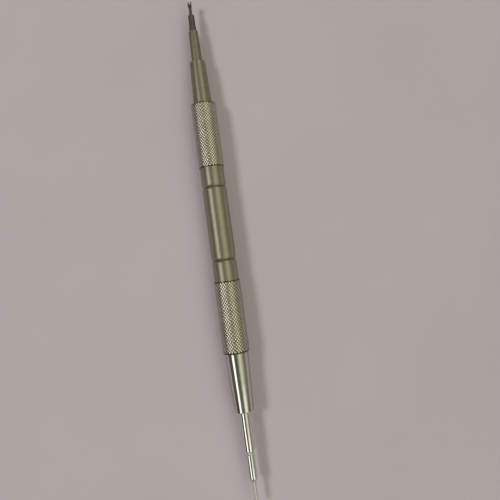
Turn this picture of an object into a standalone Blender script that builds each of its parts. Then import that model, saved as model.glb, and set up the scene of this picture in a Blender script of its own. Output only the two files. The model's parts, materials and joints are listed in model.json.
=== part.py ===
"""Double-ended spring bar tool, modelled as its separate pieces.

The tool lies along X on the plane z = 0, resting on its two knurled grips: the fork end points to -X and
the pin end to +X. Every piece is turned about the tool's axis. A piece is drawn on the pin side, with its
stations counted outwards from the middle of the centre barrel, and mirrored over for the fork side.
Lengths below are in millimetres.
"""

import math

import bmesh
import bpy
from mathutils import Matrix, Vector

MM = 0.001
SIDES = 24  # facets round a turned surface
GRIP_SIDES = 16  # fewer round the grips, so that the tool rests steadily on one flat of each
PIN_SIDES = 12  # facets round the two thin wires
SHARP_ANGLE = math.radians(25)
MERGE = 1e-7  # metres

# running and joint clearances
FIT = 0.05  # radial, between pieces that turn or slide on each other
PRESS = 0.01  # radial, between pieces that are pressed together
FACE_GAP = 0.03  # between end faces that meet

# centre barrel
BARREL_R = 3.2
BARREL_END = 9.7  # where the barrel meets a grip
GROOVE_WIDTH = 0.5  # of the chamfer on each side of the joint
GROOVE_DEPTH = 0.4
STORE_R = 1.7  # the storage bore, through the barrel, the studs and the grips

# joining studs, thread M5 x 0.5
STUD_R = 2.5
STUD_START = 4.7
STUD_END = 14.7
STUD_HOLE_RELIEF = 0.2  # free length past each end of the stud
THREAD_CHAMFER = 0.3

# grips
COLLAR_R = 3.15
COLLAR_END = 15.1
KNURL_R = 3.4
KNURL_END = 33.2
KNURL_CHAMFER = 0.25
SPIGOT_R = 2.0  # thread M4 x 0.5
SPIGOT_RELIEF_R = 1.82
SPIGOT_RELIEF_END = 34.0
SPIGOT_END = 38.2
SPIGOT_BORE_R = 1.55
NECK_R = 1.3  # the narrow stretch between the storage bore and the spigot's bore
NECK_START = 32.9
NECK_END = 33.4  # the step that the stop plug sits on

# stop plugs
PLUG_R = 1.5
PLUG_START = 33.45
PLUG_END = 35.4
PLUG_CHAMFER = 0.2
PLUG_HOLE_R = 0.4

# noses
NOSE_ROOT_R = {"fork": 2.5, "pin": 2.95}
NOSE_MOUTH_R = {"fork": 2.06, "pin": 2.35}
NOSE_END = {"fork": 45.8, "pin": 47.5}
NOSE_ROOT_CHAMFER = 0.15
NOSE_MOUTH_CHAMFER = 0.15
NOSE_THREAD_END = 38.8
NOSE_CONE_GAP = 0.1  # between the collet's cone and the nose's
MOUTH_CLEARANCE = 0.1  # radial, round the shank in the nose's mouth

# collets
COLLET_START = 36.2
COLLET_END = 45.4
COLLET_REAR_R = 1.5
COLLET_SHOULDER = 38.9
COLLET_CONE_R = 1.75
COLLET_TIP_R = 1.5
COLLET_BORE_R = 1.25
SLOT_WIDTH = 0.35
SLOT_START = 38.0
CUTTER_MARGIN = 1.0  # how far the slots' cutters run past the collet

# tips
TAIL_R = 1.2
TAIL_START = 35.6
TAIL_CHAMFER = 0.2
SHANK_START = 45.5  # the shoulder that sits on the collet's face
FORK_SHANK_END = 55.1
FORK_SHANK_ROOT_R = 1.475
FORK_SHANK_TIP_R = 1.32
FORK_SHANK_CHAMFER = 0.12
INSERT_TAIL_R = 0.6
INSERT_TAIL_START = 50.5
INSERT_RING_END = 56.3
INSERT_RING_R = 0.98
INSERT_R = 0.88
INSERT_END = 60.2
BLADE_START = 59.6
BLADE_NECK_WIDTH = 0.8
BLADE_HEAD_WIDTH = 1.05
BLADE_HEAD_START = 62.7
BLADE_END = 64.2
BLADE_ROOT_THICKNESS = 0.8
BLADE_TIP_THICKNESS = 0.35
BLADE_FLARE = 0.4  # length over which the neck widens to the head
BLADE_CHAMFER_LENGTH = 0.15
BLADE_CHAMFER_WIDTH = 0.1
NOTCH_WIDTH = 0.42
NOTCH_DEPTH = 0.75
NOTCH_STEPS = 6  # facets round the notch's bottom
PIN_SHANK_R = 1.3
PIN_SHANK_END = 56.85
PIN_GROOVE_R = 0.85
PIN_GROOVE_START = 57.3
PIN_GROOVE_END = 57.55
PIN_STEP_START = 57.75
PIN_STEP_R = 1.05
PIN_STEP_END = 63.2
PIN_CONE_END = 64.05
PIN_CONE_R = 0.55
WIRE_R = 0.42
WIRE_HOLE_R = 0.44
WIRE_TAIL_START = 57.0
WIRE_END = 68.6
WIRE_CHAMFER = 0.08

# spares, copies of the tips moved along the storage bore and lying on its floor
SPARE_FORK_SHIFT = 32.2
SPARE_PIN_SHIFT = -37.2
SPARE_DROP = 0.18

# colour and roughness of each finish
SATIN_STEEL = (0.56, 0.53, 0.46), 0.38
POLISHED_STEEL = (0.72, 0.71, 0.68), 0.12
THREAD_STEEL = (0.48, 0.47, 0.45), 0.42
SPRING_STEEL = (0.42, 0.42, 0.43), 0.35
DARK_STEEL = (0.10, 0.085, 0.08), 0.45
WIRE_STEEL = (0.66, 0.65, 0.64), 0.25

# where the tool's axis runs in the part's frame
AXIS_HEIGHT = KNURL_R
MIDDLE = 0.5 * (WIRE_END - BLADE_END)  # the overall middle, counted from the barrel's


def clear_scene():
    """Remove every object that the scene holds."""
    for old in list(bpy.data.objects):
        bpy.data.objects.remove(old, do_unlink=True)


def material(name, finish):
    """A Principled material for one kind of steel."""
    colour, roughness = finish
    made = bpy.data.materials.new(name)
    made.use_nodes = True
    shader = made.node_tree.nodes["Principled BSDF"]
    shader.inputs["Base Color"].default_value = (*colour, 1.0)
    shader.inputs["Roughness"].default_value = roughness
    shader.inputs["Metallic"].default_value = 1.0
    made.diffuse_color = (*colour, 1.0)
    return made


def turned(profile, sides):
    """Spin a profile of (station, radius) points about X.

    The profile runs along the outer surface and back along the bore. The facets' flats touch the true
    circle, and one flat faces straight down. A profile that starts and ends on the axis is solid.
    """
    work = bmesh.new()
    half_facet = math.pi / sides
    points = []
    for station, radius in profile:
        corner = radius / math.cos(half_facet)
        place = Vector((station, corner * math.sin(half_facet), -corner * math.cos(half_facet)))
        points.append(work.verts.new(place * MM))
    lines = [work.edges.new(pair) for pair in zip(points, points[1:])]
    if profile[0][1] > 0.0:
        lines.append(work.edges.new((points[-1], points[0])))
    bmesh.ops.spin(
        work, geom=points + lines, cent=(0, 0, 0), axis=(1, 0, 0), angle=2.0 * math.pi, steps=sides
    )
    bmesh.ops.remove_doubles(work, verts=work.verts, dist=MERGE)
    bmesh.ops.recalc_face_normals(work, faces=work.faces)
    return work


def piece(name, work, finish, side, shift=0.0, drop=0.0):
    """Make a named object of a mesh drawn on the pin side, mirrored over for the fork side."""
    if side == "fork":
        bmesh.ops.scale(work, verts=work.verts, vec=(-1.0, 1.0, 1.0))
        bmesh.ops.reverse_faces(work, faces=work.faces)
    start = min((v.co.x for v in work.verts), key=abs)
    bmesh.ops.translate(work, verts=work.verts, vec=(-start, 0.0, 0.0))
    mesh = bpy.data.meshes.new(name)
    work.to_mesh(mesh)
    work.free()
    mesh.shade_smooth()
    mesh.set_sharp_from_angle(angle=SHARP_ANGLE)
    mesh.materials.append(finish)
    made = bpy.data.objects.new(name, mesh)
    bpy.context.scene.collection.objects.link(made)
    made.location = (start + shift * MM, 0.0, -drop * MM)
    made.parent = bpy.data.objects["tool_axis"]
    return made


def add_axis():
    """The empty that every piece hangs on: the tool's axis at the middle of the centre barrel."""
    axis = bpy.data.objects.new("tool_axis", None)
    axis.location = (-MIDDLE * MM, 0.0, AXIS_HEIGHT * MM)
    bpy.context.scene.collection.objects.link(axis)


def centre_barrel():
    """The plain tube in the middle, chamfered at both ends and opened out for the studs."""
    hole_r = STUD_R + PRESS
    hole_end = STUD_START - STUD_HOLE_RELIEF
    half = [
        (BARREL_END - GROOVE_WIDTH, BARREL_R),
        (BARREL_END, BARREL_R - GROOVE_DEPTH),
        (BARREL_END, hole_r),
        (hole_end, hole_r),
        (hole_end, STORE_R),
    ]
    other = [(-station, radius) for station, radius in reversed(half)]
    return turned(half + other, SIDES)


def joining_stud():
    """A sleeve with a thread outside and the storage bore inside."""
    crest = STUD_R - THREAD_CHAMFER
    profile = [
        (STUD_START, crest),
        (STUD_START + THREAD_CHAMFER, STUD_R),
        (STUD_END - THREAD_CHAMFER, STUD_R),
        (STUD_END, crest),
        (STUD_END, STORE_R),
        (STUD_START, STORE_R),
    ]
    return turned(profile, SIDES)


def grip():
    """Collar, knurled length and the threaded spigot for the nose, bored right through."""
    face = BARREL_END + FACE_GAP
    hole_r = STUD_R + FIT
    hole_end = STUD_END + STUD_HOLE_RELIEF
    profile = [
        (face, COLLAR_R - GROOVE_DEPTH),
        (face + GROOVE_WIDTH, COLLAR_R),
        (COLLAR_END, COLLAR_R),
        (COLLAR_END + KNURL_CHAMFER, KNURL_R),
        (KNURL_END - KNURL_CHAMFER, KNURL_R),
        (KNURL_END, KNURL_R - KNURL_CHAMFER),
        (KNURL_END, SPIGOT_RELIEF_R),
        (SPIGOT_RELIEF_END, SPIGOT_RELIEF_R),
        (SPIGOT_RELIEF_END, SPIGOT_R),
        (SPIGOT_END - THREAD_CHAMFER, SPIGOT_R),
        (SPIGOT_END, SPIGOT_R - THREAD_CHAMFER),
        (SPIGOT_END, SPIGOT_BORE_R),
        (NECK_END, SPIGOT_BORE_R),
        (NECK_END, NECK_R),
        (NECK_START, NECK_R),
        (NECK_START, STORE_R),
        (hole_end, STORE_R),
        (hole_end, hole_r),
        (face, hole_r),
    ]
    return turned(profile, GRIP_SIDES)


def stop_plug():
    """A loose disc with a small hole through it."""
    profile = [
        (PLUG_START, PLUG_R - PLUG_CHAMFER),
        (PLUG_START + PLUG_CHAMFER, PLUG_R),
        (PLUG_END - PLUG_CHAMFER, PLUG_R),
        (PLUG_END, PLUG_R - PLUG_CHAMFER),
        (PLUG_END, PLUG_HOLE_R),
        (PLUG_START, PLUG_HOLE_R),
    ]
    return turned(profile, SIDES)


def cone_radius(station):
    """The collet's cone at a station."""
    along = (station - COLLET_SHOULDER) / (COLLET_END - COLLET_SHOULDER)
    return COLLET_CONE_R + (COLLET_TIP_R - COLLET_CONE_R) * along


def nose(side):
    """The tapered nut: thread, inner cone over the collet, and a mouth round the shank."""
    face = KNURL_END + FACE_GAP
    end = NOSE_END[side]
    root_r = NOSE_ROOT_R[side]
    mouth_r = NOSE_MOUTH_R[side]
    shank_r = FORK_SHANK_ROOT_R if side == "fork" else PIN_SHANK_R
    thread_r = SPIGOT_R + FIT
    profile = [
        (face, root_r - NOSE_ROOT_CHAMFER),
        (face + NOSE_ROOT_CHAMFER, root_r),
        (end - NOSE_MOUTH_CHAMFER, mouth_r + 0.5 * NOSE_MOUTH_CHAMFER),
        (end, mouth_r - 0.5 * NOSE_MOUTH_CHAMFER),
        (end, shank_r + MOUTH_CLEARANCE),
        (COLLET_END + NOSE_CONE_GAP, shank_r + MOUTH_CLEARANCE),
        (COLLET_END + NOSE_CONE_GAP, cone_radius(COLLET_END) + NOSE_CONE_GAP),
        (NOSE_THREAD_END, cone_radius(NOSE_THREAD_END) + NOSE_CONE_GAP),
        (NOSE_THREAD_END, thread_r),
        (face, thread_r),
    ]
    return turned(profile, SIDES)


def collet():
    """A sleeve with a cone at the front, slotted crosswise so that four jaws can close."""
    profile = [
        (COLLET_START, COLLET_REAR_R),
        (COLLET_SHOULDER, COLLET_REAR_R),
        (COLLET_SHOULDER, COLLET_CONE_R),
        (COLLET_END, COLLET_TIP_R),
        (COLLET_END, COLLET_BORE_R),
        (COLLET_START, COLLET_BORE_R),
    ]
    return turned(profile, SIDES)


def add_slots(body, side):
    """Cut two crossed slots from a collet's front end with Boolean cutters."""
    sign = -1.0 if side == "fork" else 1.0
    length = COLLET_END + CUTTER_MARGIN - SLOT_START
    across = 2.0 * (COLLET_CONE_R + CUTTER_MARGIN)
    for number, tilt in enumerate((math.radians(45), math.radians(-45))):
        block = bmesh.new()
        bmesh.ops.create_cube(block, size=1.0)
        size = Matrix.Diagonal((length * MM, across * MM, SLOT_WIDTH * MM, 1.0))
        bmesh.ops.transform(block, matrix=Matrix.Rotation(tilt, 4, "X") @ size, verts=block.verts)
        mesh = bpy.data.meshes.new(f"{body.name}_slot_{number}")
        block.to_mesh(mesh)
        block.free()
        cutter = bpy.data.objects.new(mesh.name, mesh)
        bpy.context.scene.collection.objects.link(cutter)
        cutter.parent = bpy.data.objects["tool_axis"]
        cutter.location = (sign * (SLOT_START + 0.5 * length) * MM, 0.0, 0.0)
        cutter.hide_render = True
        cutter.display_type = "WIRE"
        cut = body.modifiers.new(cutter.name, "BOOLEAN")
        cut.operation = "DIFFERENCE"
        cut.solver = "EXACT"
        cut.object = cutter


def fork_shank():
    """Tail for the collet, then the tapered shank with a hole for the insert."""
    hole_r = INSERT_TAIL_R + PRESS
    hole_end = INSERT_TAIL_START - FACE_GAP
    profile = [
        (TAIL_START, 0.0),
        (TAIL_START, TAIL_R - TAIL_CHAMFER),
        (TAIL_START + TAIL_CHAMFER, TAIL_R),
        (SHANK_START, TAIL_R),
        (SHANK_START, FORK_SHANK_ROOT_R),
        (FORK_SHANK_END - FORK_SHANK_CHAMFER, FORK_SHANK_TIP_R),
        (FORK_SHANK_END, FORK_SHANK_TIP_R - FORK_SHANK_CHAMFER),
        (FORK_SHANK_END, hole_r),
        (hole_end, hole_r),
        (hole_end, 0.0),
    ]
    return turned(profile, SIDES)


def fork_insert():
    """The hardened insert's round part, from its pressed tail to the root of the blade."""
    ring_start = FORK_SHANK_END + FACE_GAP
    profile = [
        (INSERT_TAIL_START, 0.0),
        (INSERT_TAIL_START, INSERT_TAIL_R),
        (ring_start, INSERT_TAIL_R),
        (ring_start, INSERT_RING_R),
        (INSERT_RING_END, INSERT_RING_R),
        (INSERT_RING_END, INSERT_R),
        (INSERT_END, INSERT_R),
        (INSERT_END, 0.0),
    ]
    return turned(profile, SIDES)


def blade_outline():
    """The blade's outline seen flat on, with the notch that takes the spring bar's collar."""
    neck = 0.5 * BLADE_NECK_WIDTH
    head = 0.5 * BLADE_HEAD_WIDTH
    notch = 0.5 * NOTCH_WIDTH
    upper = [(BLADE_START, neck), (BLADE_HEAD_START - BLADE_FLARE, neck), (BLADE_HEAD_START, head)]
    upper.append((BLADE_END - BLADE_CHAMFER_LENGTH, head))
    upper.append((BLADE_END, head - BLADE_CHAMFER_WIDTH))
    upper.append((BLADE_END, notch))
    centre = BLADE_END - NOTCH_DEPTH + notch
    for step in range(NOTCH_STEPS // 2 + 1):
        turn = math.pi / NOTCH_STEPS * step
        upper.append((centre - notch * math.sin(turn), notch * math.cos(turn)))
    lower = [(station, -width) for station, width in reversed(upper[:-1])]
    return upper + lower


def fork_blade():
    """The flat blade, thinner towards its forked end."""
    work = bmesh.new()
    outline = blade_outline()
    faces = []
    for sign in (1.0, -1.0):
        ring = []
        for station, width in outline:
            along = (station - BLADE_START) / (BLADE_END - BLADE_START)
            thick = BLADE_ROOT_THICKNESS + (BLADE_TIP_THICKNESS - BLADE_ROOT_THICKNESS) * along
            ring.append(work.verts.new(Vector((station, width, 0.5 * sign * thick)) * MM))
        faces.append(ring)
    top, bottom = faces
    work.faces.new(top)
    work.faces.new(bottom)
    for k in range(len(outline)):
        after = (k + 1) % len(outline)
        work.faces.new((top[k], top[after], bottom[after], bottom[k]))
    bmesh.ops.triangulate(work, faces=[f for f in work.faces if len(f.verts) > 4])
    bmesh.ops.recalc_face_normals(work, faces=work.faces)
    return work


def unite(body, other):
    """Join another object's solid to a body with a Boolean, and leave the other one out."""
    other.hide_render = True
    other.display_type = "WIRE"
    union = body.modifiers.new(other.name, "BOOLEAN")
    union.operation = "UNION"
    union.solver = "EXACT"
    union.object = other


def pin_shank():
    """Tail for the collet, polished shank, a groove, and the slimmer length with its cone."""
    hole_end = WIRE_TAIL_START - FACE_GAP
    profile = [
        (TAIL_START, 0.0),
        (TAIL_START, TAIL_R - TAIL_CHAMFER),
        (TAIL_START + TAIL_CHAMFER, TAIL_R),
        (SHANK_START, TAIL_R),
        (SHANK_START, PIN_SHANK_R),
        (PIN_SHANK_END, PIN_SHANK_R),
        (PIN_GROOVE_START, PIN_GROOVE_R),
        (PIN_GROOVE_END, PIN_GROOVE_R),
        (PIN_STEP_START, PIN_STEP_R),
        (PIN_STEP_END, PIN_STEP_R),
        (PIN_CONE_END, PIN_CONE_R),
        (PIN_CONE_END, WIRE_HOLE_R),
        (hole_end, WIRE_HOLE_R),
        (hole_end, 0.0),
    ]
    return turned(profile, SIDES)


def pin_wire():
    """The thin hardened pin, pressed into the pin shank, with a flat end."""
    tip_r = WIRE_R - WIRE_CHAMFER
    profile = [
        (WIRE_TAIL_START, 0.0),
        (WIRE_TAIL_START, WIRE_R),
        (WIRE_END - WIRE_CHAMFER, WIRE_R),
        (WIRE_END, tip_r),
        (WIRE_END, 0.0),
    ]
    return turned(profile, PIN_SIDES)


def add_fork_tip(prefix, shank_finish, blade_finish, shift=0.0, drop=0.0):
    """A fork shank with its blade, in the tool or stored."""
    piece(f"{prefix}fork_shank", fork_shank(), shank_finish, "fork", shift, drop)
    insert = piece(f"{prefix}fork_blade", fork_insert(), blade_finish, "fork", shift, drop)
    unite(insert, piece(f"{prefix}blade_flat", fork_blade(), blade_finish, "fork", shift, drop))


def add_pin_tip(prefix, shank_finish, wire_finish, shift=0.0, drop=0.0):
    """A pin shank with its wire, in the tool or stored."""
    piece(f"{prefix}pin_shank", pin_shank(), shank_finish, "pin", shift, drop)
    piece(f"{prefix}pin_wire", pin_wire(), wire_finish, "pin", shift, drop)


def build():
    """Make every piece of the tool."""
    clear_scene()
    add_axis()
    satin = material("satin_steel", SATIN_STEEL)
    polished = material("polished_steel", POLISHED_STEEL)
    thread = material("thread_steel", THREAD_STEEL)
    spring = material("spring_steel", SPRING_STEEL)
    dark = material("dark_steel", DARK_STEEL)
    wire = material("wire_steel", WIRE_STEEL)
    piece("centre_barrel", centre_barrel(), satin, "pin")
    for side in ("fork", "pin"):
        piece(f"{side}_joining_stud", joining_stud(), thread, side)
        piece(f"{side}_grip", grip(), satin, side)
        piece(f"{side}_stop_plug", stop_plug(), thread, side)
        add_slots(piece(f"{side}_collet", collet(), spring, side), side)
        piece(f"{side}_nose", nose(side), satin if side == "fork" else polished, side)
    add_fork_tip("", satin, dark)
    add_pin_tip("", polished, wire)
    add_fork_tip("spare_", satin, dark, SPARE_FORK_SHIFT, SPARE_DROP)
    add_pin_tip("spare_", polished, wire, SPARE_PIN_SHIFT, SPARE_DROP)


build()
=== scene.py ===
"""The spring bar tool's looks: finely turned pieces, knurling, threads, steel finishes, light and camera.

Every piece takes its outline from its own CAD node, so it has the node's exact size and place, and is
then turned again with smooth surfaces, broken edges and the detail that the plain solid leaves out.
"""
import json
import math

import bmesh
import bpy
from mathutils import Matrix, Quaternion, Vector


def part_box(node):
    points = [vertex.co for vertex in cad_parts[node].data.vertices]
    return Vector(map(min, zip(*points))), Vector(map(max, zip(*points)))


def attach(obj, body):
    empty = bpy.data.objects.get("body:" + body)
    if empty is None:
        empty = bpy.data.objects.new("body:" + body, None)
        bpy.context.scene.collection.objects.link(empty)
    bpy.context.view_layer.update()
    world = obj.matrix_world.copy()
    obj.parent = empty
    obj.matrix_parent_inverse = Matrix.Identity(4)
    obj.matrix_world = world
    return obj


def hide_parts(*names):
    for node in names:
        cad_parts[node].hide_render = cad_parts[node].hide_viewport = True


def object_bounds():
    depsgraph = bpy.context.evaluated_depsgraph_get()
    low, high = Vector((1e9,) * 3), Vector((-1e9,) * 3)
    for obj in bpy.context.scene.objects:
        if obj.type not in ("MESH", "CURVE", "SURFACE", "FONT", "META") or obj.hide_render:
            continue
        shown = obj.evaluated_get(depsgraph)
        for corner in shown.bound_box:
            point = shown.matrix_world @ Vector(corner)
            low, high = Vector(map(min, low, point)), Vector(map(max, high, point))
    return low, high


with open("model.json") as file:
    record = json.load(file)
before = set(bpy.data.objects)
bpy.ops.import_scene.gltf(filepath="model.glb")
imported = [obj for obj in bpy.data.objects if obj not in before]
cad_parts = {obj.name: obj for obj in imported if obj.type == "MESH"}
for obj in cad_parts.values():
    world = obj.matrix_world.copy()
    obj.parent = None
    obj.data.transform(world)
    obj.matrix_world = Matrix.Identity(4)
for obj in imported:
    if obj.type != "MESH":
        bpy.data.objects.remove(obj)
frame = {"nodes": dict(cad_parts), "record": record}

MM = 0.001
TINY = 1e-6

cad_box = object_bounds()

# turning
SEGMENTS = 96
EDGE_BREAK = 0.07 * MM
EDGE_STEPS = 3
EDGE_REACH = 0.4  # of a stretch's length, the most that a rounded corner takes
SOFT_TURN = math.radians(12)  # a corner that turns less than this stays as it is
SHARP_ANGLE = math.radians(32)

# reading the CAD nodes
LEAST_TURN = math.radians(1)  # the corners used are at the first turn past this
SAME_TURN = math.radians(0.3)
SAME_LEVEL = 5 * TINY
SPIGOT_TIP = 1.0 * MM  # a grip's far end, which is all spigot
WALL_DEPTH = 2.0 * MM  # this far in from its mouth, a threaded hole has the thread's radius

# diamond knurling
KNURL_STARTS = 26  # grooves of each hand round the grip
KNURL_ROWS = 40  # half diamonds along the grip
KNURL_DEPTH = 0.085 * MM
KNURL_LEVELS = (  # each diamond's shoulder and flat top, as shares of its width and height
    (0.74, 0.5),
    (0.25, 1.0),
)

# screw threads
PITCH = 0.5 * MM
THREAD_DEPTH = 0.13 * MM
THREAD_ROWS = 8  # rings for each turn of a thread
THREAD_TURNS = 2  # a stretch shorter than this many turns is left plain
FLANK_SLOPE = 1.25
CREST_FLAT = 0.125  # what the flat crest takes of the slope's height

# collet slots
SLOT_WIDTH = 0.35 * MM
SLOT_SHARE = 0.8  # of the collet's length

# the fork's blade, counted back from its end
BLADE_LENGTH = 4.6 * MM
HEAD_LENGTH = 1.5 * MM
HEAD_TAPER = 0.4 * MM
HEAD_WIDTH = 1.05 * MM
NECK_WIDTH = 0.8 * MM
ROOT_THICKNESS = 0.8 * MM
TIP_THICKNESS = 0.35 * MM
NOTCH_WIDTH = 0.42 * MM
NOTCH_DEPTH = 0.75 * MM
NOTCH_FLARE = 0.03 * MM  # how much wider the notch is at its mouth
NOTCH_FLARE_LENGTH = 0.05 * MM
NOTCH_STEPS = 8
TAPER_STEPS = 4
PRONG_ROUNDING = (  # back from the end, in from the side
    (0.16 * MM, 0.0),
    (0.05 * MM, 0.04 * MM),
    (0.0, 0.12 * MM),
)
BLADE_EDGE = 0.035 * MM
SHOULDER = 0.3 * MM

RUNNING_GAP = 0.05 * MM  # between pieces that turn in one another

EDGE_TINT = (0.55, 0.52, 0.48)  # how much of the light steel mirrors where it is seen at a shallow angle
GROOVE_SHADE = (0.04, 0.036, 0.028)  # painted shade: what is left of the steel's colour at the bottom of the knurling

# turning marks and stains
FINE_RINGS = 9000.0  # for each metre
BROAD_RINGS = 700.0
BROAD_DETAIL = 1.0
STAIN_SCALE = 420.0
TONE_BASE = 0.2
TONE_SPREAD = 0.6
TONE_RANGE = 0.25, 0.75
RING_SHEEN = 0.5
QUARTER_TURN = 0.25
MICROMETRE = 1e-6
GROOVE_RANGE = 0.4, 0.8  # of the knurling's depth, over which painted shade darkens the steel
WHITE = (1.0, 1.0, 1.0)

# steel finishes: both ends of the colour, both ends of the roughness, and other settings of steel()
FINISHES = {
    "satin": ((0.40, 0.375, 0.29), (0.46, 0.435, 0.345), (0.40, 0.48), {"stretch": 0.3}),
    "nose": ((0.35, 0.325, 0.25), (0.41, 0.38, 0.30), (0.46, 0.54), {"stretch": 0.3}),
    "shank": ((0.30, 0.275, 0.21), (0.35, 0.32, 0.25), (0.50, 0.58), {}),
    # painted highlight: the knurled steel is far lighter than the grip's satin steel, standing in for the
    # light its facets catch and making up for the painted groove shade
    "knurled": ((0.8, 0.775, 0.65), (0.9, 0.875, 0.75), (0.17, 0.24), {"turning": 0.5}),
    "polished": ((0.64, 0.63, 0.595), (0.70, 0.69, 0.655), (0.10, 0.16), {"turning": 0.2, "stain": 0.2}),
    "mirror": ((0.82, 0.81, 0.80), (0.88, 0.87, 0.86), (0.06, 0.11), {"turning": 0.15, "stain": 0.2}),
    "thread": ((0.44, 0.43, 0.41), (0.54, 0.53, 0.50), (0.35, 0.45), {}),
    "spring": ((0.38, 0.38, 0.39), (0.46, 0.46, 0.47), (0.30, 0.40), {}),
    "dark": ((0.12, 0.10, 0.09), (0.22, 0.19, 0.17), (0.40, 0.55), {"turning": 2.0, "stain": 1.0}),
    "wire": ((0.76, 0.75, 0.73), (0.84, 0.83, 0.81), (0.28, 0.38), {"turning": 0.6, "stain": 0.3}),
}

# camera, which looks almost straight down with the fork end at the top
LENS = 35.0
SHIFT_Y = -0.16
CAMERA_ALONG = 6.0 * MM
CAMERA_ACROSS = 10.27 * MM
CAMERA_HEIGHT = 133.87 * MM
CAMERA_TILT = math.radians(9.245)
CAMERA_ROLL = math.radians(8.427)
SENSOR_WIDTH = 36.0
CAMERA_CLIP = 0.01, 50.0

# lights, all LIGHT_DISTANCE away; sizes are along the tool and across it
LIGHT_DISTANCE = 3.0
LIGHT_COLOUR = (1.0, 0.955, 0.93)
SOFTBOX_DIRECTION = (-0.265, -0.824, 1.0)
SOFTBOX_SIZE = 0.65, 0.65
SOFTBOX_POWER = 25.5
STRIP_DIRECTION = (0.0, -0.824, 1.0)
STRIP_SIZE = 4.0, 1.0
STRIP_POWER = 22.0

# floor
FLOOR_SIZE = 12.0
FLOOR_GAP = 0.01 * MM  # below the tool
FLOOR_DARK = (0.695, 0.635, 0.72)
FLOOR_LIGHT = (0.725, 0.665, 0.75)
FLOOR_MOTTLE = 25.0
FLOOR_DETAIL = 4.0
FLOOR_ROUGHNESS = 0.75
FLOOR_SPECULAR = 0.2

# the room's brightness by the angle about X, in degrees from straight up towards +Y
BACKDROP = (0.50, 0.47, 0.46)
ENDS_START = 0.28  # sine of the angle out of the tool's cross-section at which the ends' bands begin to show
ENDS_FULL = 0.42  # and at which only they show
END_BANDS = [
    (-90.0, (0.07, 0.06, 0.055)),
    (-55.0, (0.09, 0.08, 0.07)),
    (-30.0, (0.25, 0.24, 0.20)),
    (0.0, (0.12, 0.11, 0.09)),
    (11.0, (0.30, 0.29, 0.23)),
    (20.0, (1.1, 1.08, 0.95)),
    (38.0, (1.2, 1.18, 1.05)),
    (49.0, (0.60, 0.59, 0.45)),
    (60.0, (0.20, 0.19, 0.13)),
    (90.0, (0.16, 0.15, 0.11)),
]
SIDE_BANDS = [
    (-90.0, (0.11, 0.092, 0.086)),
    (-62.0, (0.11, 0.092, 0.086)),
    (-40.0, (0.20, 0.19, 0.17)),
    (-16.0, (0.12, 0.113, 0.08)),
    (-3.0, (0.12, 0.113, 0.08)),
    (6.0, (0.28, 0.27, 0.19)),
    (16.0, (0.62, 0.62, 0.46)),
    (27.0, (0.83, 0.82, 0.62)),
    (37.0, (0.69, 0.69, 0.50)),
    (48.0, (0.48, 0.48, 0.33)),
    (60.0, (0.29, 0.29, 0.18)),
    (72.0, (0.20, 0.19, 0.115)),
    (90.0, (0.20, 0.19, 0.12)),
]

bodies = frame["record"]["behaviour"]["bodies"]
body_of_node = {node: body for body, nodes in bodies.items() for node in nodes}


# outlines, read off the CAD nodes

def middle_of(node):
    """A turned node's axis, as the y and z that it runs through."""
    low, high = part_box(node)
    return 0.5 * (low.y + high.y), 0.5 * (low.z + high.z)


def cad_outline(node):
    """A turned node's outline as (station, radius) points.

    The points are the corners on one of the lines along the facets. A solid piece's outline starts and
    ends on the axis. They run from -X to +X along the outside, and back along the bore if there is one.
    """
    axis_y, axis_z = middle_of(node)
    work = bmesh.new()
    work.from_mesh(frame["nodes"][node].data)
    bmesh.ops.remove_doubles(work, verts=work.verts, dist=TINY * 0.1)
    turns = {v: math.atan2(v.co.y - axis_y, axis_z - v.co.z) for v in work.verts}
    first = min(turn for turn in turns.values() if turn > LEAST_TURN)
    line = [v for v, turn in turns.items() if abs(turn - first) < SAME_TURN]
    near = {v: [e.other_vert(v) for e in v.link_edges if e.other_vert(v) in line] for v in line}
    ends = [v for v in line if len(near[v]) < 2]
    here = min(ends or line, key=lambda v: (v.co.x, math.hypot(v.co.y - axis_y, v.co.z - axis_z)))
    walked = [here]
    while True:
        ahead = [v for v in near[here] if v not in walked]
        if not ahead:
            break
        here = ahead[0]
        walked.append(here)
    facet = math.cos(first)
    outline = [(v.co.x, facet * math.hypot(v.co.y - axis_y, v.co.z - axis_z)) for v in walked]
    work.free()
    if ends:
        outline = [(outline[0][0], 0.0)] + outline + [(outline[-1][0], 0.0)]
    pairs = zip(outline, outline[1:] + outline[:1])
    if sum(x0 * r1 - x1 * r0 for (x0, r0), (x1, r1) in pairs) > 0.0:
        outline.reverse()
    return outline


def broken_edges(outline, size=EDGE_BREAK):
    """The outline with every outer corner rounded by a small arc."""
    made = []
    count = len(outline)
    closed = outline[0][1] > 0.0
    for number, corner in enumerate(outline):
        before, after = outline[number - 1], outline[(number + 1) % count]
        here = Vector(corner)
        if corner[1] == 0.0 or (not closed and number in (0, count - 1)):
            made.append(corner)
            continue
        into, out = here - Vector(before), Vector(after) - here
        turn = into.angle_signed(out)
        if turn < SOFT_TURN:
            made.append(corner)
            continue
        reach = min(size * math.tan(0.5 * turn), EDGE_REACH * into.length, EDGE_REACH * out.length)
        start, end = here - reach * into.normalized(), here + reach * out.normalized()
        for step in range(EDGE_STEPS + 1):
            t = step / EDGE_STEPS
            point = (1 - t) ** 2 * start + 2 * t * (1 - t) * here + t ** 2 * end
            made.append((point.x, point.y))
    return made


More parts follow.
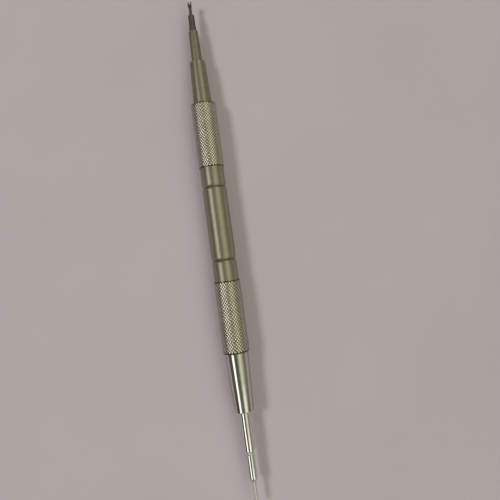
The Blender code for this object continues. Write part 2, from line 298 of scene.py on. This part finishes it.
def add_thread(outline, depths, radius, sign):
    """The outline with close rows along its straight stretches at a radius, and how deep each row is cut.

    depths maps row numbers to depths of cut, 1 for the full depth and less where the thread runs out;
    sign is -1 inside a hole. Rows that are in the outline already keep the depths they have.
    """
    made, cuts = [], {}
    for number, point in enumerate(outline):
        if number in depths:
            cuts[len(made)] = depths[number]
        made.append(point)
        after = outline[(number + 1) % len(outline)]
        length = abs(after[0] - point[0])
        level = max(abs(point[1] - radius), abs(after[1] - radius)) < SAME_LEVEL
        if not level or length < THREAD_TURNS * PITCH:
            continue
        rows = int(length / PITCH * THREAD_ROWS)
        for row in range(1, rows):
            station = point[0] + (after[0] - point[0]) * row / rows
            run_out = min(abs(station - point[0]), abs(after[0] - station)) / PITCH
            cuts[len(made)] = sign * min(1.0, run_out)
            made.append((station, radius))
    return made, cuts


# meshes

def thread_radius(station, radius, turn, depth):
    """The radius of a V thread's flank; a negative depth cuts it into the wall of a hole."""
    phase = (station / PITCH - turn / math.tau) % 1.0
    groove = max(0.0, FLANK_SLOPE * (1.0 - abs(2.0 * phase - 1.0)) - CREST_FLAT)
    return radius - depth * THREAD_DEPTH * min(1.0, groove)


def ring_points(axis, station, radius, segments, depth=0.0):
    """One ring of a turned surface, or the single point where it meets the axis."""
    axis_y, axis_z = axis
    if radius == 0.0:
        return [Vector((station, axis_y, axis_z))]
    points = []
    for k in range(segments):
        turn = math.tau * k / segments
        r = thread_radius(station, radius, turn, depth) if depth else radius
        points.append(Vector((station, axis_y + r * math.sin(turn), axis_z - r * math.cos(turn))))
    return points


def band(work, near, far, segments):
    """Faces between two rings, either of which may be a single point."""
    for k in range(segments):
        after = (k + 1) % segments
        corners = [near[k % len(near)], near[after % len(near)], far[after % len(far)], far[k % len(far)]]
        work.faces.new(list(dict.fromkeys(corners)))


def turned(axis, outline, segments=SEGMENTS, depths=None, knurl_at=None):
    """Turn an outline about an axis parallel to X.

    depths gives the threaded rows, and knurl_at the number of the stretch that is knurled.
    """
    work = bmesh.new()
    rings = []
    for number, (station, radius) in enumerate(outline):
        depth = (depths or {}).get(number, 0.0)
        rings.append([work.verts.new(p) for p in ring_points(axis, station, radius, segments, depth)])
    stretches = list(zip(rings, rings[1:]))
    if outline[0][1] > 0.0:
        stretches.append((rings[-1], rings[0]))
    for number, (near, far) in enumerate(stretches):
        if number == knurl_at:
            knurled_band(work, axis, near, far, outline[number], outline[number + 1])
        else:
            band(work, near, far, segments)
    bmesh.ops.recalc_face_normals(work, faces=work.faces)
    return work


def knurled_band(work, axis, near, far, start, end):
    """Rows of raised diamonds between two rings that lie at the bottom of the knurling.

    Two sets of helical grooves cross at every second point of a grid, and between the crossings stand
    flat-topped pyramids.
    """
    axis_y, axis_z = axis
    segments = len(near)
    low = start[1]

    def place(k, row, radius):
        turn = math.tau * k / segments
        station = start[0] + (end[0] - start[0]) * row / KNURL_ROWS
        return Vector((station, axis_y + radius * math.sin(turn), axis_z - radius * math.cos(turn)))

    known = set(work.faces)
    crossings = {}
    for k in range(segments):
        crossings[k, 0] = near[k]
        crossings[k, KNURL_ROWS] = far[k]
        for row in range(1, KNURL_ROWS):
            if (k + row) % 2 == 0:
                crossings[k, row] = work.verts.new(place(k, row, low))
    for k in range(segments):
        left, right = (k - 1) % segments, (k + 1) % segments
        for row in range(1, KNURL_ROWS):
            if (k + row) % 2 == 0:
                continue
            corners = (left, row), (k, row - 1), (right, row), (k, row + 1)
            below = [crossings[corner] for corner in corners]
            for share, height in KNURL_LEVELS:
                steps = [(-share, 0), (0, -share), (share, 0), (0, share)]
                radius = low + height * KNURL_DEPTH
                level = [work.verts.new(place(k + a, row + b, radius)) for a, b in steps]
                for side in range(4):
                    after = (side + 1) % 4
                    work.faces.new((below[side], below[after], level[after], level[side]))
                below = level
            work.faces.new(below)
        for row, inner in ((0, 1), (KNURL_ROWS, KNURL_ROWS - 1)):
            if (k + row) % 2 == 1:
                middle, tip = crossings[k, row], crossings[k, inner]
                work.faces.new((crossings[left, row], middle, tip))
                work.faces.new((middle, crossings[right, row], tip))
    # these faces take the knurled finish, with its painted highlight and painted groove shade
    for face in set(work.faces) - known:
        face.material_index = 1


def finished(node, work, *finishes):
    """Make the piece that stands for a node, riding on the node's body."""
    mesh = bpy.data.meshes.new(f"{node}_finished")
    work.to_mesh(mesh)
    work.free()
    mesh.shade_smooth()
    mesh.set_sharp_from_angle(angle=SHARP_ANGLE)
    for finish in finishes:
        mesh.materials.append(finish)
    made = bpy.data.objects.new(mesh.name, mesh)
    bpy.context.scene.collection.objects.link(made)
    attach(made, body_of_node[node])
    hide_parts(node)
    return made


def in_fixed_order(work):
    """The same mesh with its points and faces in an order that follows from the points' places alone."""
    points = sorted(work.verts, key=lambda v: tuple(v.co))
    number = {v: k for k, v in enumerate(points)}
    rings = []
    for face in work.faces:
        ring = [number[v] for v in face.verts]
        first = ring.index(min(ring))
        rings.append(ring[first:] + ring[:first])
    made = bmesh.new()
    verts = [made.verts.new(v.co) for v in points]
    for ring in sorted(rings):
        made.faces.new([verts[k] for k in ring])
    work.free()
    return made


def apply_boolean(work, other, operation):
    """Unite a mesh with another one or cut the other one out of it.

    The solver gives its points and faces in an order that changes from run to run, so they are sorted.
    """
    objects = []
    for number, part in enumerate((work, other)):
        mesh = bpy.data.meshes.new(f"boolean_{number}")
        part.to_mesh(mesh)
        part.free()
        objects.append(bpy.data.objects.new(mesh.name, mesh))
        bpy.context.scene.collection.objects.link(objects[-1])
    body, tool = objects
    change = body.modifiers.new("change", "BOOLEAN")
    change.operation = operation
    change.solver = "EXACT"
    change.object = tool
    bpy.context.view_layer.update()
    result = bmesh.new()
    result.from_mesh(body.evaluated_get(bpy.context.evaluated_depsgraph_get()).data)
    for used in objects:
        mesh = used.data
        bpy.data.objects.remove(used)
        bpy.data.meshes.remove(mesh)
    return in_fixed_order(result)


# the pieces

def plain_piece(node, finish):
    """A turned piece with broken edges and nothing more."""
    finished(node, turned(middle_of(node), broken_edges(cad_outline(node))), finish)


def threaded_piece(node, finish, male=(), female=()):
    """A turned piece with threads on the walls that have these radii, outside and inside."""
    outline, depths = broken_edges(cad_outline(node)), {}
    for radius, sign in [(r, 1.0) for r in male] + [(r, -1.0) for r in female]:
        outline, depths = add_thread(outline, depths, radius, sign)
    finished(node, turned(middle_of(node), outline, depths=depths), finish)


def wall_radius(node, station):
    """The radius of a node's bore at a station: the lowest crossing of its outline there."""
    outline = cad_outline(node)
    found = []
    for (x0, r0), (x1, r1) in zip(outline, outline[1:] + outline[:1]):
        if min(x0, x1) < station < max(x0, x1):
            found.append(r0 + (r1 - r0) * (station - x0) / (x1 - x0))
    return min(found)


def outer_radius(node):
    """The largest radius of a turned node."""
    return max(radius for _, radius in cad_outline(node))


def grip(side, finish, knurl_finish):
    """A grip: its collar and spigot are turned, and the stretch of the largest radius is knurled."""
    node = f"{side}_grip"
    outline = cad_outline(node)
    crest = outer_radius(node)
    low = crest - KNURL_DEPTH
    top = [n for n, (_, radius) in enumerate(outline) if abs(radius - crest) < TINY]
    before, after = min(top) - 1, max(top) + 1
    knurl = [(outline[before][0], low), (outline[after][0], low)]
    whole = broken_edges(outline[:before + 1] + knurl + outline[after:])
    depths = {}
    walls = (spigot_radius(side), 1.0), (outer_radius(f"{side}_joining_stud") + RUNNING_GAP, -1.0)
    for radius, sign in walls:
        whole, depths = add_thread(whole, depths, radius, sign)
    knurl_at = max(range(len(whole) - 1), key=lambda n: whole[n + 1][0] - whole[n][0])
    finished(node, turned(middle_of(node), whole, 2 * KNURL_STARTS, depths, knurl_at), finish, knurl_finish)


def spigot_radius(side):
    """The radius of a grip's spigot, which is the outer radius near its far end."""
    outline = cad_outline(f"{side}_grip")
    far = max(abs(x) for x, _ in outline)
    return max(radius for x, radius in outline if far - abs(x) < SPIGOT_TIP)


def collet(side, finish):
    """A collet with two crossed slots from its front."""
    node = f"{side}_collet"
    low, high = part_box(node)
    axis_y, axis_z = middle_of(node)
    length = high.x - low.x
    front = low.x if side == "fork" else high.x
    work = turned((axis_y, axis_z), broken_edges(cad_outline(node)))
    for tilt in (math.radians(45), math.radians(-45)):
        slot = bmesh.new()
        bmesh.ops.create_cube(slot, size=1.0)
        size = Matrix.Diagonal((2 * SLOT_SHARE * length, 2 * (high.y - low.y), SLOT_WIDTH, 1.0))
        place = Matrix.Translation((front, axis_y, axis_z)) @ Matrix.Rotation(tilt, 4, "X") @ size
        bmesh.ops.transform(slot, matrix=place, verts=slot.verts)
        work = apply_boolean(work, slot, "DIFFERENCE")
    finished(node, work, finish)


def blade_outline(end):
    """The blade seen flat on, from its hidden root to the round-bottomed notch between its prongs."""
    neck, head, notch = 0.5 * NECK_WIDTH, 0.5 * HEAD_WIDTH, 0.5 * NOTCH_WIDTH
    upper = [(BLADE_LENGTH, neck)]
    waist = HEAD_LENGTH + HEAD_TAPER
    for step in range(TAPER_STEPS + 1):
        t = step / TAPER_STEPS
        ease = t * t * (3 - 2 * t)
        upper.append((waist - HEAD_TAPER * t, neck + (head - neck) * ease))
    upper += [(back, head - inset) for back, inset in PRONG_ROUNDING]
    upper.append((0.0, notch + NOTCH_FLARE))
    upper.append((NOTCH_FLARE_LENGTH, notch))
    for step in range(NOTCH_STEPS + 1):
        turn = 0.5 * math.pi * step / NOTCH_STEPS
        upper.append((NOTCH_DEPTH - notch + notch * math.sin(turn), notch * math.cos(turn)))
    lower = [(back, -width) for back, width in reversed(upper[:-1])]
    return [(end + back, width) for back, width in upper + lower]


def fork_blade(node, finish):
    """The hardened insert: a round part with a shoulder, forged into a flat forked blade."""
    axis_y, axis_z = middle_of(node)
    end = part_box(node)[0].x
    outline = cad_outline(node)
    (_, centre), (shoulder, radius) = outline[:2]
    bevel = [(shoulder, centre), (shoulder, radius - SHOULDER), (shoulder + SHOULDER, radius)]
    work = turned((axis_y, axis_z), broken_edges(bevel + outline[2:]))
    flat = bmesh.new()
    rings = []
    for sign in (1.0, -1.0):
        ring = []
        for station, width in blade_outline(end):
            back = abs(station - end) / BLADE_LENGTH
            thick = TIP_THICKNESS + (ROOT_THICKNESS - TIP_THICKNESS) * back
            ring.append(flat.verts.new((station, axis_y + width, axis_z + 0.5 * sign * thick)))
        rings.append(ring)
    count = len(rings[0])
    flat.faces.new(rings[0])
    flat.faces.new(rings[1])
    for k in range(count):
        after = (k + 1) % count
        flat.faces.new((rings[0][k], rings[0][after], rings[1][after], rings[1][k]))
    bmesh.ops.recalc_face_normals(flat, faces=flat.faces)
    rims = [e for e in flat.edges if any(len(f.verts) > 4 for f in e.link_faces)]
    bmesh.ops.bevel(flat, geom=rims, offset=BLADE_EDGE, segments=2, profile=0.5, affect="EDGES")
    bmesh.ops.triangulate(flat, faces=[f for f in flat.faces if len(f.verts) > 4])
    bmesh.ops.recalc_face_normals(flat, faces=flat.faces)
    finished(node, apply_boolean(work, flat, "UNION"), finish)


# materials

def node_material(name):
    """A new material, its nodes, its links and its Principled shader."""
    made = bpy.data.materials.new(name)
    made.use_nodes = True
    return made, made.node_tree.nodes, made.node_tree.links, made.node_tree.nodes["Principled BSDF"]


def math_node(nodes, links, operation, first, second):
    """A Math node on two inputs, each a socket or a number."""
    made = nodes.new("ShaderNodeMath")
    made.operation = operation
    for socket, value in zip(made.inputs, (first, second)):
        if isinstance(value, bpy.types.NodeSocket):
            links.new(value, socket)
        else:
            socket.default_value = value
    return made.outputs[0]


def ring_noise(nodes, links, along, lines_per_metre, detail=2.0):
    """Noise that changes only along X, as the marks of a turning tool do."""
    made = nodes.new("ShaderNodeTexNoise")
    made.noise_dimensions = "1D"
    made.inputs["Detail"].default_value = detail
    made.inputs["Scale"].default_value = 1.0
    links.new(math_node(nodes, links, "MULTIPLY", along, lines_per_metre), made.inputs["W"])
    return made.outputs["Fac"]


def cloud_noise(nodes, links, coordinates, scale, detail=3.0):
    """Soft noise in all directions, for handling marks and stains."""
    made = nodes.new("ShaderNodeTexNoise")
    made.inputs["Scale"].default_value = scale
    made.inputs["Detail"].default_value = detail
    links.new(coordinates, made.inputs["Vector"])
    return made.outputs["Fac"]


def ramp(nodes, links, value, stops):
    """A colour ramp on a value, with (position, colour) stops."""
    made = nodes.new("ShaderNodeValToRGB")
    elements = made.color_ramp.elements
    while len(elements) < len(stops):
        elements.new(0.5)
    for element, (position, colour) in zip(elements, stops):
        element.position = position
        element.color = (*colour, 1.0)
    links.new(value, made.inputs["Fac"])
    return made.outputs["Color"]


def between(nodes, links, value, low, high):
    """A value from 0 to 1 spread between two numbers."""
    made = nodes.new("ShaderNodeMapRange")
    made.inputs["To Min"].default_value = low
    made.inputs["To Max"].default_value = high
    links.new(value, made.inputs["Value"])
    return made.outputs["Result"]


def steel(name, dark, light, rough, turning=1.0, stain=0.4, stretch=0.0):
    """Turned steel: fine rings from the tool, uneven sheen from handling and faint colour changes.

    dark and light are the ends of the colour's variation, rough the ends of the roughness. turning is
    the depth of the rings in micrometres, and stretch draws the highlights out along the tool.
    """
    made, nodes, links, shader = node_material(name)
    place = nodes.new("ShaderNodeTexCoord").outputs["Object"]
    split = nodes.new("ShaderNodeSeparateXYZ")
    links.new(place, split.inputs[0])
    along = split.outputs["X"]
    rings = ring_noise(nodes, links, along, FINE_RINGS)
    broad = ring_noise(nodes, links, along, BROAD_RINGS, BROAD_DETAIL)
    cloud = cloud_noise(nodes, links, place, STAIN_SCALE)
    grime = math_node(nodes, links, "MULTIPLY", math_node(nodes, links, "SUBTRACT", cloud, 0.5), stain)
    tone = math_node(nodes, links, "MULTIPLY", broad, TONE_SPREAD)
    tone = math_node(nodes, links, "ADD", tone, TONE_BASE)
    tone = math_node(nodes, links, "ADD", tone, grime)
    stops = list(zip(TONE_RANGE, (dark, light)))
    links.new(ramp(nodes, links, tone, stops), shader.inputs["Base Color"])
    sheen = math_node(nodes, links, "MULTIPLY", rings, RING_SHEEN)
    sheen = math_node(nodes, links, "ADD", sheen, grime)
    links.new(between(nodes, links, sheen, *rough), shader.inputs["Roughness"])
    shader.inputs["Metallic"].default_value = 1.0
    shader.inputs["Specular Tint"].default_value = (*EDGE_TINT, 1.0)
    shader.inputs["Anisotropic"].default_value = stretch
    shader.inputs["Anisotropic Rotation"].default_value = QUARTER_TURN
    if stretch:
        tangent = nodes.new("ShaderNodeTangent")
        tangent.direction_type = "RADIAL"
        tangent.axis = "X"
        links.new(tangent.outputs[0], shader.inputs["Tangent"])
    bump = nodes.new("ShaderNodeBump")
    bump.inputs["Distance"].default_value = turning * MICROMETRE
    bump.inputs["Strength"].default_value = 1.0
    links.new(rings, bump.inputs["Height"])
    links.new(bump.outputs[0], shader.inputs["Normal"])
    return made


def paint_groove_shade(finish, axis_z, crest):
    """Paint shade into the knurling's grooves: a finish's colour darkens with depth below the crests."""
    nodes, links = finish.node_tree.nodes, finish.node_tree.links
    shader = nodes["Principled BSDF"]
    split = nodes.new("ShaderNodeSeparateXYZ")
    links.new(nodes.new("ShaderNodeTexCoord").outputs["Object"], split.inputs[0])
    up = math_node(nodes, links, "SUBTRACT", split.outputs["Z"], axis_z)
    across = math_node(nodes, links, "MULTIPLY", split.outputs["Y"], split.outputs["Y"])
    square = math_node(nodes, links, "ADD", across, math_node(nodes, links, "MULTIPLY", up, up))
    depth = math_node(nodes, links, "SUBTRACT", crest, math_node(nodes, links, "SQRT", square, 0.0))
    share = math_node(nodes, links, "DIVIDE", depth, KNURL_DEPTH)
    shade = ramp(nodes, links, share, list(zip(GROOVE_RANGE, (WHITE, GROOVE_SHADE))))
    mix = nodes.new("ShaderNodeMix")
    mix.data_type = "RGBA"
    mix.blend_type = "MULTIPLY"
    mix.inputs["Factor"].default_value = 1.0
    colour = shader.inputs["Base Color"].links[0].from_socket
    links.new(colour, mix.inputs[6])
    links.new(shade, mix.inputs[7])
    links.new(mix.outputs[2], shader.inputs["Base Color"])


def floor_material():
    """A pale, faintly mottled matt surface."""
    made, nodes, links, shader = node_material("pale_table")
    place = nodes.new("ShaderNodeTexCoord").outputs["Object"]
    cloud = cloud_noise(nodes, links, place, FLOOR_MOTTLE, FLOOR_DETAIL)
    colours = [(0.3, FLOOR_DARK), (0.7, FLOOR_LIGHT)]
    links.new(ramp(nodes, links, cloud, colours), shader.inputs["Base Color"])
    shader.inputs["Roughness"].default_value = FLOOR_ROUGHNESS
    shader.inputs["Specular IOR Level"].default_value = FLOOR_SPECULAR
    return made


# the stage

def add_floor():
    """A wide plain floor just under the lowest point of the tool."""
    work = bmesh.new()
    bmesh.ops.create_grid(work, x_segments=2, y_segments=2, size=FLOOR_SIZE)
    mesh = bpy.data.meshes.new("floor")
    work.to_mesh(mesh)
    work.free()
    mesh.materials.append(floor_material())
    made = bpy.data.objects.new("floor", mesh)
    bpy.context.scene.collection.objects.link(made)
    made.location.z = cad_box[0].z - FLOOR_GAP


def add_soft_light(name, direction, size, power):
    """A soft rectangular light that faces the tool from LIGHT_DISTANCE away."""
    lamp = bpy.data.lights.new(name, "AREA")
    lamp.shape = "RECTANGLE"
    lamp.size, lamp.size_y = size
    lamp.energy = power
    lamp.color = LIGHT_COLOUR
    made = bpy.data.objects.new(name, lamp)
    bpy.context.scene.collection.objects.link(made)
    made.location = LIGHT_DISTANCE * Vector(direction).normalized()
    made.rotation_mode = "QUATERNION"
    made.rotation_quaternion = Vector(direction).to_track_quat("Z", "Y")
    return made


def add_lights():
    """A compact softbox that lights the table, and a long strip that the steel mirrors."""
    softbox = add_soft_light("softbox", SOFTBOX_DIRECTION, SOFTBOX_SIZE, SOFTBOX_POWER)
    softbox.visible_glossy = False
    strip = add_soft_light("strip", STRIP_DIRECTION, STRIP_SIZE, STRIP_POWER)
    lean = -math.atan2(STRIP_DIRECTION[1], STRIP_DIRECTION[2])
    strip.rotation_quaternion = Quaternion((1.0, 0.0, 0.0), lean)  # keeps its length along the tool
    strip.visible_diffuse = False


def add_room():
    """A soft room whose brightness changes with the angle about the tool's own direction.

    It is dim towards -Y and overhead and brighter and warm towards +Y, so a turned surface shows long even
    bands. What faces the tool's ends sees other bands than its sides do, with more contrast. Where the room
    itself is in view, it is plain and pale.
    """
    world = bpy.data.worlds.new("room")
    bpy.context.scene.world = world
    world.use_nodes = True
    nodes, links = world.node_tree.nodes, world.node_tree.links
    nodes.clear()
    split = nodes.new("ShaderNodeSeparateXYZ")
    links.new(nodes.new("ShaderNodeTexCoord").outputs["Generated"], split.inputs[0])
    angle = math_node(nodes, links, "ARCTAN2", split.outputs["Y"], split.outputs["Z"])
    share = math_node(nodes, links, "ADD", math_node(nodes, links, "DIVIDE", angle, math.tau), 0.5)
    sides, ends = [], []
    for stops, bands in ((sides, SIDE_BANDS), (ends, END_BANDS)):
        for degrees, colour in bands:
            stops.append((0.5 + degrees / 360.0, colour))
    along = math_node(nodes, links, "ABSOLUTE", split.outputs["X"], 0.0)
    towards_ends = nodes.new("ShaderNodeMapRange")
    towards_ends.interpolation_type = "SMOOTHSTEP"
    towards_ends.inputs["From Min"].default_value = ENDS_START
    towards_ends.inputs["From Max"].default_value = ENDS_FULL
    links.new(along, towards_ends.inputs["Value"])
    colour = nodes.new("ShaderNodeMix")
    colour.data_type = "RGBA"
    links.new(towards_ends.outputs[0], colour.inputs["Factor"])
    links.new(ramp(nodes, links, share, sides), colour.inputs[6])
    links.new(ramp(nodes, links, share, ends), colour.inputs[7])
    bands = nodes.new("ShaderNodeBackground")
    links.new(colour.outputs[2], bands.inputs["Color"])
    plain = nodes.new("ShaderNodeBackground")
    plain.inputs["Color"].default_value = (*BACKDROP, 1.0)
    seen = nodes.new("ShaderNodeLightPath").outputs["Is Camera Ray"]
    mix = nodes.new("ShaderNodeMixShader")
    links.new(seen, mix.inputs["Fac"])
    links.new(bands.outputs[0], mix.inputs[1])
    links.new(plain.outputs[0], mix.inputs[2])
    links.new(mix.outputs[0], nodes.new("ShaderNodeOutputWorld").inputs["Surface"])


def add_camera():
    """The camera, nearly overhead, with +Y to the right and the fork end up."""
    lens = bpy.data.cameras.new("camera")
    lens.lens = LENS
    lens.sensor_width = SENSOR_WIDTH
    lens.shift_y = SHIFT_Y
    lens.clip_start, lens.clip_end = CAMERA_CLIP
    made = bpy.data.objects.new("camera", lens)
    bpy.context.scene.collection.objects.link(made)
    down, up, right = Vector((0, 0, -1)), Vector((-1, 0, 0)), Vector((0, 1, 0))
    tilted_down = math.cos(CAMERA_TILT) * down + math.sin(CAMERA_TILT) * up
    tilted_up = math.cos(CAMERA_TILT) * up - math.sin(CAMERA_TILT) * down
    rolled_right = math.cos(CAMERA_ROLL) * right - math.sin(CAMERA_ROLL) * tilted_up
    rolled_up = math.cos(CAMERA_ROLL) * tilted_up + math.sin(CAMERA_ROLL) * right
    turn = Matrix((rolled_right, rolled_up, -tilted_down)).transposed().to_4x4()
    made.matrix_world = Matrix.Translation((CAMERA_ALONG, CAMERA_ACROSS, CAMERA_HEIGHT)) @ turn
    bpy.context.scene.camera = made


def build_pieces():
    """Every piece of the tool, with its finish."""
    made = {}
    for name, (dark, light, rough, more) in FINISHES.items():
        made[name] = steel(f"{name}_steel", dark, light, rough, **more)
    # painted shade in the knurling's grooves
    paint_groove_shade(made["knurled"], middle_of("pin_grip")[1], outer_radius("pin_grip"))
    barrel_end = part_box("centre_barrel")[0].x
    stud_wall = wall_radius("centre_barrel", barrel_end + WALL_DEPTH)
    threaded_piece("centre_barrel", made["satin"], female=[stud_wall])
    for side, nose_finish in (("fork", made["nose"]), ("pin", made["polished"])):
        threaded_piece(f"{side}_joining_stud", made["thread"], male=[outer_radius(f"{side}_joining_stud")])
        grip(side, made["satin"], made["knurled"])
        low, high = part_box(f"{side}_nose")
        inside = high.x - WALL_DEPTH if side == "fork" else low.x + WALL_DEPTH
        threaded_piece(f"{side}_nose", nose_finish, female=[wall_radius(f"{side}_nose", inside)])
        collet(side, made["spring"])
        plain_piece(f"{side}_stop_plug", made["thread"])
    for prefix in ("", "spare_"):
        plain_piece(f"{prefix}fork_shank", made["shank"])
        fork_blade(f"{prefix}fork_blade", made["dark"])
        plain_piece(f"{prefix}pin_shank", made["mirror"])
        plain_piece(f"{prefix}pin_wire", made["wire"])


build_pieces()
add_floor()
add_room()
add_lights()
add_camera()
bpy.context.scene.view_settings.view_transform = "Standard"
